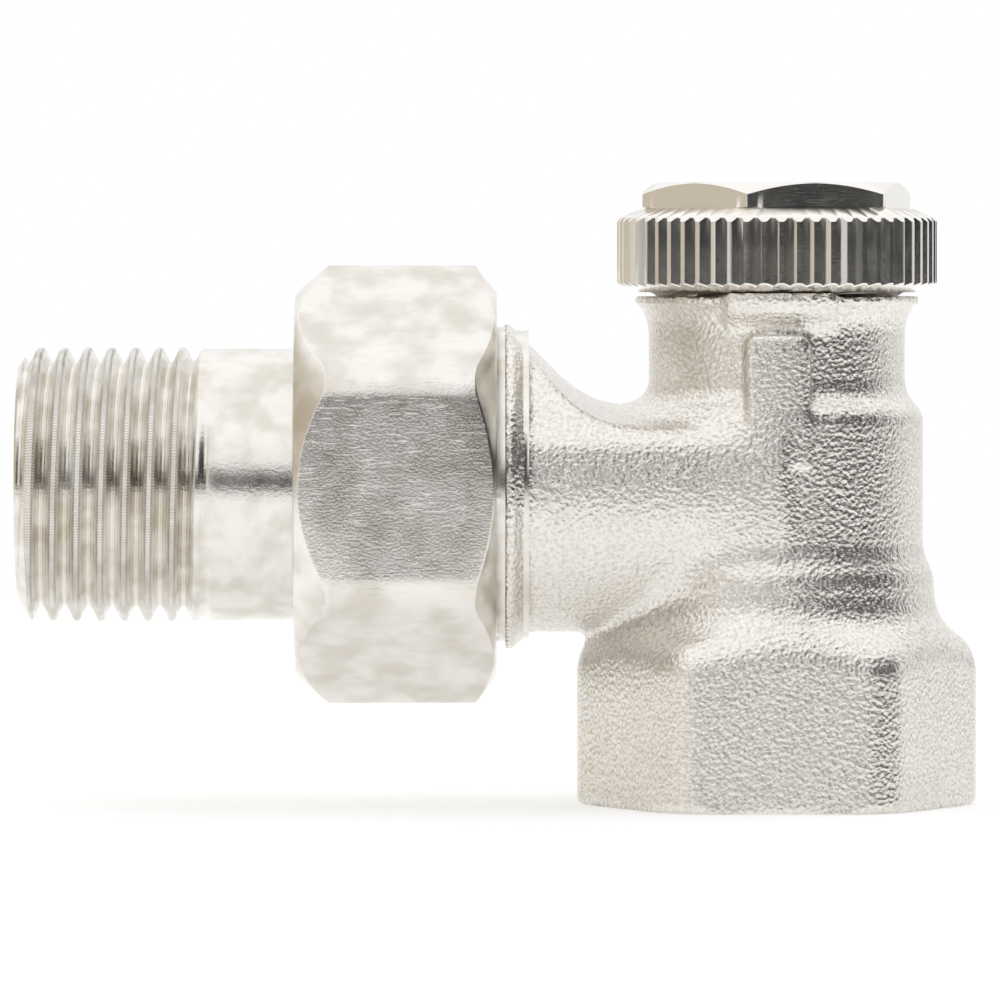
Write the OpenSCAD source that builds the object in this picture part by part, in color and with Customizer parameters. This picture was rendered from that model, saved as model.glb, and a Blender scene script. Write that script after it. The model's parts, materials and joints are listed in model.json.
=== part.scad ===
// Angled return valve for a half-inch radiator connection, nickel-plated brass.
// The pipe comes up into the socket underneath. The radiator's tailpiece leaves
// to the left, held by a union nut. Under the knurled cap a hollow spindle shuts
// the valve, and a thin spindle inside it sets how far the water may pass.
// Origin: centre of the pipe socket's mouth. +Z runs up the spindle's axis,
// -X points out along the tailpiece, and -Y is the front.

/* [Layout] */
// Height of the union's axis above the pipe face
axis_height = 24.5; // [24.3:0.1:25]
// Distance from the spindle's axis to the end of the tailpiece
reach = 58; // [57:0.5:60]

/* [Pipe socket] */
// Radius of the socket's bore, at the crests of a half-inch parallel thread
socket_r = 9.316; // [9.2:0.01:9.4]
// Depth of the socket
socket_depth = 13.2; // [13:0.1:13.3]
// Radius of the mouth, where the bore is chamfered
socket_mouth_r = 10.5; // [10.2:0.1:10.8]

/* [Casting] */
// Distance across the base's flats
base_across_flats = 27.2; // [27:0.1:27.5]
// Half the distance across the base's corners
base_corner_x = 15.7; // [15.6:0.05:15.8]
// Radius of the step under the barrel
step_r = 12.07; // [12:0.01:12.2]
// Radius of the barrel
barrel_r = 11.2; // [11.1:0.05:11.4]
// Radius of the neck
neck_r = 9.8; // [9.7:0.05:9.9]
// Radius of the cast rim on the neck
neck_rim_r = 10.85; // [10.8:0.05:11]
// Radius of the branch to the union
branch_r = 11.15; // [11.1:0.05:11.2]
// Radius of the branch's end flange
flange_r = 12.57; // [12.4:0.01:12.7]
// Width of the raised pad on the neck's front
pad_width = 4.9; // [4:0.1:6]
// Taper that the notch's walls have so that the casting leaves its mould
mould_draft = 8; // [2:1:10]

/* [Union nut] */
// Distance across the nut's flats
nut_across_flats = 30; // [30:0.5:31]
// Length of the nut
nut_length = 15.35; // [15:0.05:15.5]
// Radius of the nut's rounded corners
nut_corner_r = 3.5; // [2:0.1:4]
// Radius on which the union's three-quarter-inch threads meet
union_thread_r = 13.2; // [13.15:0.01:13.25]
// Radius of the hole in the nut's rear wall
nut_hole_r = 10.65; // [10.6:0.01:10.7]

/* [Tailpiece] */
// Radius over the crests of the half-inch radiator thread
tail_thread_r = 10.478; // [10.4:0.01:10.5]
// Length of the radiator thread
tail_thread_length = 14.8; // [13.2:0.1:15]
// Radius of the smooth barrel beside the thread
tail_barrel_r = 10.4; // [10.2:0.05:10.45]
// Radius of the waterway
waterway_r = 6.4; // [6:0.1:6.4]
// Distance across the hexagonal keyway inside
keyway_across_flats = 12; // [11.8:0.1:12.4]

/* [Cap] */
// Radius over the knurl's teeth
knurl_r = 12.26; // [12.1:0.02:12.5]
// Number of teeth in the knurl
knurl_teeth = 72; // [40:4:80]
// Depth of the knurl's grooves
knurl_depth = 0.4; // [0.2:0.05:0.5]
// Distance across the flats of the hexagon on top
cap_across_flats = 18.75; // [18:0.05:19]
// Angle at which the hexagon has come to rest
cap_hexagon_turn = 16.4; // [0:0.1:60]
// Radius on which the threads of the cap and the neck meet
cap_thread_r = 10.46; // [10.44:0.01:10.48]

/* [Headwork and spindles] */
// Radius of the headwork's threaded upper part
headwork_thread_r = 8; // [7.9:0.05:8.1]
// Radius of the headwork's smooth lower part
headwork_r = 7.42; // [7.4:0.01:7.44]
// Radius of the shut-off spindle
spindle_r = 4.6; // [4.55:0.01:4.65]
// Radius over the shut-off spindle's thread
spindle_thread_r = 5.4; // [5.3:0.05:5.5]
// Distance that the shut-off spindle lifts the plug
spindle_lift = 2.5; // [2:0.1:2.5]
// Distance across the flats of the key socket in the shut-off spindle
key_across_flats = 5; // [4.5:0.1:5]
// Radius of the presetting spindle
preset_r = 2.5; // [2.4:0.01:2.5]

/* [Seat and plug] */
// Height of the seat above the pipe face
seat_height = 18; // [17.9:0.1:18.1]
// Radius of the hole through the seat
seat_hole_r = 6; // [5.9:0.05:6.1]
// Radius of the chamber round the plug
chamber_r = 8.4; // [8.2:0.1:8.5]
// Radius of the plug's disc
plug_r = 7.9; // [7.7:0.05:8]

/* [Hidden] */
$fn = 96;

// Radial clearance of a running fit, and the gap at a seal face
running_gap = 0.04;
seal_gap = 0.03;
// Length by which a cutting shape runs past the surface that it cuts
past = 1;
// How round an arc in an outline is drawn, in degrees for each step
arc_step = 15;
// The chamfers on turned edges, small and middling
small_chamfer = 0.3;
turned_chamfer = 0.4;
// How far a shoulder is let into the shape beside it, so that the two join
overlap = 2;

// The base, from the pipe face up
socket_chamfer = 0.9;
base_chamfer_r = 14.7;
base_chamfer_height = 0.6;
base_front_half_width = 8.1;
flare_top = 15.1;
flare_slope = 35;
flare_hollow_r = 1.6;
flare_edge_r = 1.5;

// Heights up the barrel and neck
step_top = 16.9;
barrel_bottom = 19.9;
barrel_top = 29.5;
neck_bottom = 32.5;
neck_flare_bottom = 36.1;
neck_rim_bottom = 38.4;
neck_rim_top = 38.9;
neck_top = 43.9;
neck_chamfer = 0.6;
neck_flare_r = 2.4;
pad_bottom = 26.5;
pad_corner_r = 1;
pad_r = barrel_r + 0.08;
lug_r = 11.3;
lug_width = 8.4;
lug_cone_top = 38.2;
lug_top = 39.2;

// Distances out along the branch from the spindle's axis
flange_start = 20;
flange_end = 20.8;
stub_undercut_end = 22.3;
stub_undercut_r = 12.1;
stub_end = 29.8;
stub_chamfer = 0.9;
cone_mouth_r = 9.4;
waterway_end = 19.5;

// The cored passage from the waterway to the chamber, kept low to clear the notch
passage_height = 9.3;
passage_width = 12.3;
passage_axis_height = 23.55;

// The notch between branch and neck, measured from the union's axis
notch_floor = 5.85;
notch_floor_far = 14.1;
notch_round_r = 2.4;

// Heights of the bores above the seat
chamber_top = 30;
neck_bore_r = headwork_r + running_gap;
neck_ledge = 36.5;

// The union nut's places along the branch
nut_start = 21.45;
nut_end = nut_start + nut_length;
nut_wall = 3;
nut_bore_end = nut_end - nut_wall;
nut_chamfer_r = 14.7;
nut_front_chamfer = 1.7;
nut_rear_chamfer = 2.6;
nut_tip_r = nut_across_flats / sqrt(3) - nut_corner_r * (2 / sqrt(3) - 1);

// The tailpiece's places along the branch
collar_r = 12;
collar_start = 30.9;
collar_end = nut_bore_end - seal_gap;
nose_start = 28.6;
keyway_start = 38;
keyway_end = 46;
tail_thread_start = reach - tail_thread_length;

// Heights on the cap
cap_bottom = 39.25;
cap_lip_r = 10.84;
knurl_bottom = 39.9;
knurl_top = 44.65;
cap_cone_bottom = 44.9;
cap_cone_bottom_r = 12.06;
cap_shoulder_r = 11.7;
hexagon_bottom = 45.65;
hexagon_foot_r = 10.4;
cap_top = 47.6;
cap_top_circle_r = 9.3;
gasket_height = 1;
cap_ceiling = neck_top + gasket_height;
gasket_inner_r = 8.1;
gasket_outer_r = 10.3;

// Heights on the headwork
headwork_bottom = chamber_top;
headwork_top = 43.7;
headwork_slot_width = 2.2;
headwork_slot_depth = 1.1;
spindle_bore_r = spindle_r + 0.05;
spindle_thread_bore_r = spindle_thread_r + 0.05;
spindle_bore_top = 36.8;
stop_ring_bottom = 42.4;
stop_ring_top = 42.9;
stop_ring_inner_r = 4.5;
stop_ring_outer_r = 6.1;

// Heights on the shut-off spindle, with the plug on its seat
spindle_bottom = 19.75;
spindle_thread_bottom = 36.9;
spindle_thread_top = stop_ring_bottom - spindle_lift - 0.05;
spindle_head_r = 4.4;
spindle_top = 41.5;
preset_bore_r = preset_r + 0.05;
key_socket_bottom = 37;
clip_bottom = 22.6;
clip_top = 23.3;
clip_inner_r = 3.7;
clip_outer_r = 5.5;
clip_gap_angle = 70;
clip_play = 0.05;

// Heights on the plug and what it carries
retainer_bottom = 17.25;
retainer_r = 5.6;
plug_hub_r = 4.2;
washer_top = 19.2;
washer_r = 7.4;
disc_top = 20.6;
plug_collar_r = 6.4;
plug_top = 24.2;
plug_floor = 19.7;

// Heights on the presetting spindle, wound up as far as it goes
cone_bottom = 15.3;
cone_top = 17.1;
cone_bottom_r = 4.3;
cone_top_r = 5.5;
preset_top = 35.3;
preset_slot_width = 0.8;
preset_slot_depth = 1.2;

// O-rings: each is [cord radius, radius of its centre line, height, groove radius]
ring_groove_play = 0.12;
headwork_ring = [0.62, 6.82, 32.6, 6.2];
upper_ring = [0.59, 4.04, 33.5, 3.45];
lower_ring = [0.59, 4.04, 31.5, 3.45];
preset_ring = [0.51, 2.025, 22.5, 1.5];

nickel = "gainsboro";
brass = "goldenrod";
steel = "lightsteelblue";
rubber = "dimgray";

// Points of an arc round [x, y], from one angle to another
function arc(x, y, radius, from_angle, to_angle) =
    let (steps = ceil(abs(to_angle - from_angle) / arc_step))
    [for (i = [0:steps])
        let (a = from_angle + (to_angle - from_angle) * i / steps)
        [x + radius * cos(a), y + radius * sin(a)]];

// A solid of revolution round +Z, from an outline of [radius, height] points
module turned(outline) {
    rotate_extrude()
        polygon(outline);
}

// Puts what is drawn along +Z on the union's axis, pointing out to -X
module along_branch() {
    translate([0, 0, axis_height])
        rotate([0, -90, 0])
            children();
}

// A hexagon with rounded corners: three bars for the flats, six discs for the corners
module rounded_hexagon(across_flats, corner_r) {
    disc_distance = (across_flats / 2 - corner_r) * 2 / sqrt(3);
    for (turn = [0:60:120])
        rotate(turn)
            square([disc_distance, across_flats], center = true);
    for (turn = [0:60:300])
        rotate(turn)
            translate([disc_distance, 0])
                circle(corner_r);
}

// An O-ring of round cord
module o_ring(ring) {
    translate([0, 0, ring[2]])
        rotate_extrude()
            translate([ring[1], 0])
                circle(ring[0], $fn = 24);
}

// The groove that an O-ring sits in, cut from a shaft of the given radius
module ring_groove(ring, shaft_r) {
    half_width = ring[0] + ring_groove_play;
    translate([0, 0, ring[2] - half_width])
        difference() {
            cylinder(h = 2 * half_width, r = shaft_r + past);
            translate([0, 0, -past])
                cylinder(h = 2 * half_width + 2 * past, r = ring[3]);
        }
}

// The base's six sides, with the front and rear flats square to Y
module base_outline() {
    half = base_across_flats / 2;
    polygon([
        [base_corner_x, 0], [base_front_half_width, half],
        [-base_front_half_width, half], [-base_corner_x, 0],
        [-base_front_half_width, -half], [base_front_half_width, -half]
    ]);
}

// The turned form that trims the base: a chamfer below, a hollow flare above
module base_envelope() {
    hollow_x = step_r + flare_hollow_r;
    hollow_end = [
        hollow_x - flare_hollow_r * sin(flare_slope),
        flare_top - flare_hollow_r * cos(flare_slope)
    ];
    edge_x = base_corner_x - flare_edge_r;
    edge_start = edge_x + flare_edge_r * sin(flare_slope);
    edge_height = hollow_end[1] - (edge_start - hollow_end[0]) * tan(flare_slope);
    edge_y = edge_height - flare_edge_r * cos(flare_slope);
    turned(concat(
        [[0, 0], [base_chamfer_r, 0], [base_corner_x + 0.2, base_chamfer_height]],
        arc(edge_x + 0.2, edge_y, flare_edge_r, 0, 90 - flare_slope),
        arc(hollow_x, flare_top, flare_hollow_r, 270 - flare_slope, 180),
        [[0, flare_top]]
    ));
}

module base() {
    intersection() {
        linear_extrude(flare_top)
            base_outline();
        base_envelope();
    }
}

// Step, barrel, neck, cast rim and the thread under the cap
module barrel_and_neck() {
    shoulder_r = barrel_r - neck_r;
    turned(concat(
        [[0, flare_top - overlap], [step_r, flare_top - overlap], [step_r, step_top]],
        [[step_r - 0.17, step_top + 0.95], [step_r - 0.62, step_top + 2]],
        [[barrel_r, barrel_bottom]],
        arc(barrel_r - shoulder_r, barrel_top, shoulder_r, 0, 60),
        arc(neck_r + shoulder_r, neck_bottom, shoulder_r, 225, 180),
        arc(neck_r + neck_flare_r, neck_flare_bottom, neck_flare_r, 180, 125),
        [[neck_rim_r, neck_rim_bottom], [neck_rim_r, neck_rim_top]],
        [[cap_thread_r - running_gap, neck_rim_top]],
        [[cap_thread_r - running_gap, neck_top - neck_chamfer]],
        [[cap_thread_r - neck_chamfer, neck_top], [0, neck_top]]
    ));
}

// What the mould leaves out between the branch's flange and the neck
module notch() {
    notch_half();
    mirror([0, 1, 0])
        notch_half();
}

// The rear half of the notch, tilted so that its walls fall away from the middle
module notch_half() {
    translate([0, 0, axis_height + notch_floor])
        rotate([-mould_draft, 0, 0])
            translate([0, -past, -notch_floor])
                rotate([90, 0, 180])
                    linear_extrude(branch_r + 3 * past)
                        notch_outline();
}

// The notch's outline with its inner corner rounded
module notch_outline() {
    rise = stub_end - notch_floor_far;
    corner_x = notch_floor_far - notch_round_r * tan(22.5);
    polygon(concat(
        [[0, notch_floor + rise], [0, notch_floor]],
        arc(corner_x, notch_floor + notch_round_r, notch_round_r, -90, -45),
        [[stub_end, notch_floor + rise]]
    ));
}

// The branch, its end flange and the union's threaded stub
module branch() {
    difference() {
        along_branch()
            turned([
                [0, 0], [branch_r, 0], [branch_r, flange_start - 1.3],
                [flange_r - 0.3, flange_start], [flange_r, flange_end],
                [0, flange_end]
            ]);
        notch();
    }
    along_branch()
        turned([
            [0, flange_end - past], [stub_undercut_r, flange_end - past],
            [stub_undercut_r, stub_undercut_end],
            [union_thread_r - running_gap, stub_undercut_end + 0.7],
            [union_thread_r - running_gap, stub_end - stub_chamfer],
            [union_thread_r - stub_chamfer, stub_end], [0, stub_end]
        ]);
}

// The raised pad on the front, flush with the barrel
module front_pad() {
    half = pad_width / 2;
    corner_x = half - pad_corner_r;
    corner_y = neck_flare_bottom - pad_corner_r;
    intersection() {
        cylinder(h = neck_flare_bottom, r = pad_r);
        rotate([90, 0, 0])
            linear_extrude(barrel_r + past)
                polygon(concat(
                    [[-half, pad_bottom], [half, pad_bottom]],
                    arc(corner_x, corner_y, pad_corner_r, 0, 90),
                    arc(-corner_x, corner_y, pad_corner_r, 90, 180)
                ));
    }
}

// The lugs in front and behind, which reach up to the cap beyond the machined rim
module rim_lugs() {
    height = lug_top - neck_flare_bottom;
    intersection() {
        turned([
            [0, neck_flare_bottom], [neck_r - turned_chamfer, neck_flare_bottom],
            [lug_r, lug_cone_top], [lug_r, lug_top], [0, lug_top]
        ]);
        translate([-lug_width / 2, -barrel_r - past, neck_flare_bottom])
            cube([lug_width, 2 * (barrel_r + past), height]);
    }
}

// Socket, seat, chamber, neck bore and the outlet, cut from the casting
module body_bores() {
    turned([
        [0, -past], [socket_mouth_r, -past], [socket_mouth_r, 0],
        [socket_r, socket_chamfer], [socket_r, socket_depth],
        [seat_hole_r, socket_depth + 0.8], [seat_hole_r, seat_height],
        [chamber_r, seat_height], [chamber_r, chamber_top - 0.9],
        [neck_bore_r, chamber_top], [neck_bore_r, neck_ledge],
        [headwork_thread_r, neck_ledge], [headwork_thread_r, neck_top - turned_chamfer],
        [headwork_thread_r + turned_chamfer, neck_top],
        [headwork_thread_r + turned_chamfer, neck_top + past],
        [0, neck_top + past]
    ]);
    along_branch()
        turned([
            [0, waterway_end - waterway_r * tan(30)], [waterway_r, waterway_end],
            [waterway_r, stub_end - cone_mouth_r + waterway_r],
            [cone_mouth_r, stub_end], [cone_mouth_r, stub_end + past], [0, stub_end + past]
        ]);
    passage();
}

// A round-ended slot, wider than high, from the spindle's axis to the waterway
module passage() {
    end_r = passage_height / 2;
    end_y = passage_width / 2 - end_r;
    translate([0, 0, passage_axis_height])
        rotate([0, -90, 0])
            linear_extrude(waterway_end) {
                for (side = [-1, 1])
                    translate([0, side * end_y])
                        circle(end_r);
                square([passage_height, 2 * end_y], center = true);
            }
}

module valve_body() {
    color(nickel)
        difference() {
            union() {
                base();
                barrel_and_neck();
                branch();
                front_pad();
                rim_lugs();
            }
            body_bores();
        }
}

module union_nut() {
    color(nickel)
        along_branch()
            difference() {
                intersection() {
                    translate([0, 0, nut_start])
                        linear_extrude(nut_length)
                            rounded_hexagon(nut_across_flats, nut_corner_r);
                    turned([
                        [0, nut_start], [nut_chamfer_r, nut_start],
                        [nut_tip_r + 0.1, nut_start + nut_front_chamfer],
                        [nut_tip_r + 0.1, nut_end - nut_rear_chamfer],
                        [nut_chamfer_r, nut_end], [0, nut_end]
                    ]);
                }
                turned([
                    [0, nut_start - past], [union_thread_r + 0.8, nut_start - past],
                    [union_thread_r + 0.8, nut_start],
                    [union_thread_r, nut_start + 0.8], [union_thread_r, nut_bore_end - 1.4],
                    [union_thread_r + 0.3, nut_bore_end - 1.4],
                    [union_thread_r + 0.3, nut_bore_end], [nut_hole_r, nut_bore_end],
                    [nut_hole_r, nut_end - turned_chamfer],
                    [nut_hole_r + turned_chamfer, nut_end],
                    [nut_hole_r + turned_chamfer, nut_end + past], [0, nut_end + past]
                ]);
            }
}

module tailpiece() {
    nose_offset = stub_end - cone_mouth_r + seal_gap * sqrt(2);
    color(nickel)
        along_branch()
            difference() {
                turned([
                    [0, nose_start], [nose_start - nose_offset, nose_start],
                    [collar_start - nose_offset, collar_start], [collar_r, collar_start],
                    [collar_r, collar_end], [tail_barrel_r, collar_end],
                    [tail_barrel_r, tail_thread_start - 0.6],
                    [tail_thread_r, tail_thread_start], [tail_thread_r, reach - 0.7],
                    [tail_thread_r - 1.2, reach], [0, reach]
                ]);
                turned([
                    [0, nose_start - past], [waterway_r, nose_start - past],
                    [waterway_r, keyway_start], [0, keyway_start]
                ]);
                turned([
                    [0, keyway_end], [waterway_r, keyway_end], [waterway_r, reach - 1.5],
                    [waterway_r + 1.5, reach], [waterway_r + 1.5, reach + past],
                    [0, reach + past]
                ]);
                translate([0, 0, keyway_start - past])
                    linear_extrude(keyway_end - keyway_start + 2 * past)
                        circle(keyway_across_flats / sqrt(3), $fn = 6);
            }
}

// The knurl: straight teeth with flat tips and V grooves
module knurl_outline() {
    pitch = 360 / knurl_teeth;
    root_r = knurl_r - knurl_depth;
    polygon([
        for (tooth = [0:knurl_teeth - 1])
            for (corner = [[0, root_r], [0.35, knurl_r], [0.65, knurl_r]])
                let (a = (tooth + corner[0]) * pitch)
                [corner[1] * cos(a), corner[1] * sin(a)]
    ]);
}

// The turned form whose two cones chamfer the knurl's ends
module knurl_chamfers() {
    outside = knurl_r + knurl_depth;
    lower_slope = (knurl_bottom - cap_bottom) / (knurl_r - cap_lip_r);
    upper_slope = (cap_cone_bottom - knurl_top) / (knurl_r - cap_cone_bottom_r);
    turned([
        [0, cap_bottom], [cap_lip_r, cap_bottom],
        [outside, cap_bottom + lower_slope * (outside - cap_lip_r)],
        [outside, cap_cone_bottom - upper_slope * (outside - cap_cone_bottom_r)],
        [cap_cone_bottom_r, cap_cone_bottom], [0, cap_cone_bottom]
    ]);
}

module cap() {
    color(nickel)
        difference() {
            union() {
                intersection() {
                    translate([0, 0, cap_bottom])
                        linear_extrude(cap_cone_bottom - cap_bottom)
                            knurl_outline();
                    knurl_chamfers();
                }
                turned([
                    [0, cap_cone_bottom - past], [cap_shoulder_r, cap_cone_bottom - past],
                    [cap_shoulder_r, cap_cone_bottom],
                    [hexagon_foot_r, hexagon_bottom], [0, hexagon_bottom]
                ]);
                intersection() {
                    rotate(cap_hexagon_turn)
                        translate([0, 0, cap_cone_bottom])
                            linear_extrude(cap_top - cap_cone_bottom)
                                circle(cap_across_flats / sqrt(3), $fn = 6);
                    turned([
                        [0, cap_cone_bottom - past], [knurl_r, cap_cone_bottom - past],
                        [knurl_r, cap_top - (knurl_r - cap_top_circle_r) * tan(30)],
                        [cap_top_circle_r, cap_top], [0, cap_top]
                    ]);
                }
            }
            turned([
                [0, cap_bottom - past], [cap_thread_r + 0.2, cap_bottom - past],
                [cap_thread_r + 0.2, cap_bottom], [cap_thread_r, cap_bottom + 0.2],
                [cap_thread_r, cap_ceiling], [0, cap_ceiling]
            ]);
        }
}

module cap_gasket() {
    color(rubber)
        turned([
            [gasket_inner_r, neck_top + seal_gap], [gasket_outer_r, neck_top + seal_gap],
            [gasket_outer_r, cap_ceiling - seal_gap], [gasket_inner_r, cap_ceiling - seal_gap]
        ]);
}

module headwork() {
    color(brass)
        difference() {
            turned([
                [0, headwork_bottom], [headwork_r - turned_chamfer, headwork_bottom],
                [headwork_r, headwork_bottom + turned_chamfer], [headwork_r, neck_ledge],
                [headwork_thread_r, neck_ledge],
                [headwork_thread_r, headwork_top - turned_chamfer],
                [headwork_thread_r - turned_chamfer, headwork_top], [0, headwork_top]
            ]);
            turned([
                [0, headwork_bottom - past], [spindle_bore_r, headwork_bottom - past],
                [spindle_bore_r, spindle_bore_top], [spindle_thread_bore_r, spindle_bore_top],
                [spindle_thread_bore_r, stop_ring_bottom], [stop_ring_outer_r, stop_ring_bottom],
                [stop_ring_outer_r, stop_ring_top], [spindle_thread_bore_r, stop_ring_top],
                [spindle_thread_bore_r, headwork_top + past], [0, headwork_top + past]
            ]);
            ring_groove(headwork_ring, headwork_r);
            for (turn = [0, 90])
                rotate(turn)
                    translate([0, 0, headwork_top])
                        cube([4 * headwork_thread_r, headwork_slot_width, 2 * headwork_slot_depth],
                            center = true);
        }
}

module headwork_o_ring() {
    color(rubber)
        o_ring(headwork_ring);
}

// A split ring, from one radius to another, with a gap cut out of it
module split_ring(inner_r, outer_r, bottom, top, gap_angle) {
    reach_out = 2 * outer_r;
    difference() {
        translate([0, 0, bottom])
            cylinder(h = top - bottom, r = outer_r);
        translate([0, 0, bottom - past])
            cylinder(h = top - bottom + 2 * past, r = inner_r);
        translate([0, 0, bottom - past])
            linear_extrude(top - bottom + 2 * past)
                polygon([
                    [0, 0],
                    [reach_out * cos(gap_angle / 2), -reach_out * sin(gap_angle / 2)],
                    [reach_out * cos(gap_angle / 2), reach_out * sin(gap_angle / 2)]
                ]);
    }
}

module spindle_stop_ring() {
    color(steel)
        split_ring(stop_ring_inner_r, stop_ring_outer_r, stop_ring_bottom, stop_ring_top, 40);
}

module shutoff_spindle() {
    color(brass)
        difference() {
            turned([
                [0, spindle_bottom], [spindle_r - small_chamfer, spindle_bottom],
                [spindle_r, spindle_bottom + small_chamfer], [spindle_r, spindle_thread_bottom],
                [spindle_thread_r, spindle_thread_bottom], [spindle_thread_r, spindle_thread_top],
                [spindle_head_r, spindle_thread_top],
                [spindle_head_r, spindle_top - small_chamfer],
                [spindle_head_r - small_chamfer, spindle_top], [0, spindle_top]
            ]);
            translate([0, 0, spindle_bottom - past])
                cylinder(h = key_socket_bottom - spindle_bottom + 2 * past, r = preset_bore_r);
            translate([0, 0, key_socket_bottom])
                cylinder(h = spindle_top - key_socket_bottom + past,
                    r = key_across_flats / sqrt(3), $fn = 6);
            ring_groove(upper_ring, spindle_r);
            ring_groove(lower_ring, spindle_r);
            difference() {
                translate([0, 0, clip_bottom - clip_play])
                    cylinder(h = clip_top - clip_bottom + 2 * clip_play, r = spindle_r + past);
                translate([0, 0, clip_bottom - past])
                    cylinder(h = clip_top - clip_bottom + 2 * past, r = clip_inner_r - 0.1);
            }
        }
}

module upper_spindle_o_ring() {
    color(rubber)
        o_ring(upper_ring);
}

module lower_spindle_o_ring() {
    color(rubber)
        o_ring(lower_ring);
}

module plug() {
    color(brass)
        difference() {
            turned([
                [0, retainer_bottom], [plug_hub_r, retainer_bottom], [plug_hub_r, washer_top],
                [plug_r, washer_top], [plug_r, disc_top - small_chamfer],
                [plug_r - small_chamfer, disc_top], [plug_collar_r, disc_top],
                [plug_collar_r, plug_top - small_chamfer],
                [plug_collar_r - small_chamfer, plug_top], [0, plug_top]
            ]);
            turned([
                [0, retainer_bottom - past], [preset_bore_r, retainer_bottom - past],
                [preset_bore_r, plug_floor], [spindle_bore_r, plug_floor],
                [spindle_bore_r, clip_bottom], [clip_outer_r, clip_bottom],
                [clip_outer_r, clip_top], [spindle_bore_r, clip_top],
                [spindle_bore_r, plug_top + past], [0, plug_top + past]
            ]);
        }
}

module seat_washer() {
    color(rubber)
        turned([
            [plug_hub_r, seat_height + seal_gap], [washer_r, seat_height + seal_gap],
            [washer_r, washer_top], [plug_hub_r, washer_top]
        ]);
}

module washer_retainer() {
    color(brass)
        turned([
            [plug_hub_r, retainer_bottom], [retainer_r - small_chamfer, retainer_bottom],
            [retainer_r, retainer_bottom + small_chamfer],
            [retainer_r, seat_height + seal_gap],
            [plug_hub_r, seat_height + seal_gap]
        ]);
}

module plug_clip() {
    color(steel)
        split_ring(clip_inner_r, clip_outer_r, clip_bottom, clip_top, clip_gap_angle);
}

module preset_spindle() {
    color(brass)
        difference() {
            turned([
                [0, cone_bottom], [cone_bottom_r, cone_bottom], [cone_top_r, cone_top],
                [preset_r, cone_top], [preset_r, preset_top - small_chamfer],
                [preset_r - small_chamfer, preset_top], [0, preset_top]
            ]);
            ring_groove(preset_ring, preset_r);
            translate([0, 0, preset_top])
                cube([4 * preset_r, preset_slot_width, 2 * preset_slot_depth], center = true);
        }
}

module preset_o_ring() {
    color(rubber)
        o_ring(preset_ring);
}

valve_body();
union_nut();
tailpiece();
cap();
cap_gasket();
headwork();
headwork_o_ring();
spindle_stop_ring();
shutoff_spindle();
upper_spindle_o_ring();
lower_spindle_o_ring();
plug();
seat_washer();
washer_retainer();
plug_clip();
preset_spindle();
preset_o_ring();
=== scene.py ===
# %% [markdown]
# # Angled return valve
#
# A return valve closes or throttles the water that leaves a radiator. Its body
# is one brass casting, shot-blasted and then nickel-plated; everything that
# seals or turns is machined bright. The solids come from the part's own CAD
# frame. This script gives the four pieces that show, the casting, the nut, the
# tailpiece and the cap, the detail that a solid leaves out, and gives every
# piece its finish.

import json
import math

import bpy
import numpy as np
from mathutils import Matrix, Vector

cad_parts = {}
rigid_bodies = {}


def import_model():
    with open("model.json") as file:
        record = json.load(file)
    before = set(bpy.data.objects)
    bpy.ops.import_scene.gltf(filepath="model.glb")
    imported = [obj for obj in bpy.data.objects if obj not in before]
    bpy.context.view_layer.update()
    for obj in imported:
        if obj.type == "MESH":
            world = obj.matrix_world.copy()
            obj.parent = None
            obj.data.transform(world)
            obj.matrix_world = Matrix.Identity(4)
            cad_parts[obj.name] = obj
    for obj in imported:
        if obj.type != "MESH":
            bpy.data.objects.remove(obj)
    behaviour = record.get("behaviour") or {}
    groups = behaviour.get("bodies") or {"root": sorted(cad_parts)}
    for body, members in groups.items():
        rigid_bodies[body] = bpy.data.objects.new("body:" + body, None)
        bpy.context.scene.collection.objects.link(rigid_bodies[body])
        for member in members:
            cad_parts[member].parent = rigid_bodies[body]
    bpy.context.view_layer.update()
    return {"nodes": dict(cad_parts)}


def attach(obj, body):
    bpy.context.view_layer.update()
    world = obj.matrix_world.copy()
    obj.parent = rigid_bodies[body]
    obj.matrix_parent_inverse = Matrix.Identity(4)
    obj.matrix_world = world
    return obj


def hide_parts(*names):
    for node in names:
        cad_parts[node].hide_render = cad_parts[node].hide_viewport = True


for leftover in list(bpy.data.objects):
    bpy.data.objects.remove(leftover)
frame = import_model()
nodes = frame["nodes"]
MM = 0.001
print("CAD nodes:", len(nodes))

# %% [markdown]
# ## The places everything is measured from
#
# The pipe comes up the Z axis. The union, the tailpiece and the nut lie on a
# second axis, 24.5 mm up, that runs out towards -X. All lengths below are in
# millimetres and are turned to metres only when a mesh is made.

# %% Shared sizes
AXIS_HEIGHT = 24.5
THREAD_PITCH = 1.814
FULL_TURN = 2 * math.pi
print("union axis at", AXIS_HEIGHT, "mm, thread pitch", THREAD_PITCH, "mm")

# %% [markdown]
# ## Shader maths as Python
#
# A material is a graph of nodes, and written out node by node it is hard to
# read. A small class wraps a socket so that sums, products and masks are written
# as ordinary expressions, and one method adds every other kind of node.


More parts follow.
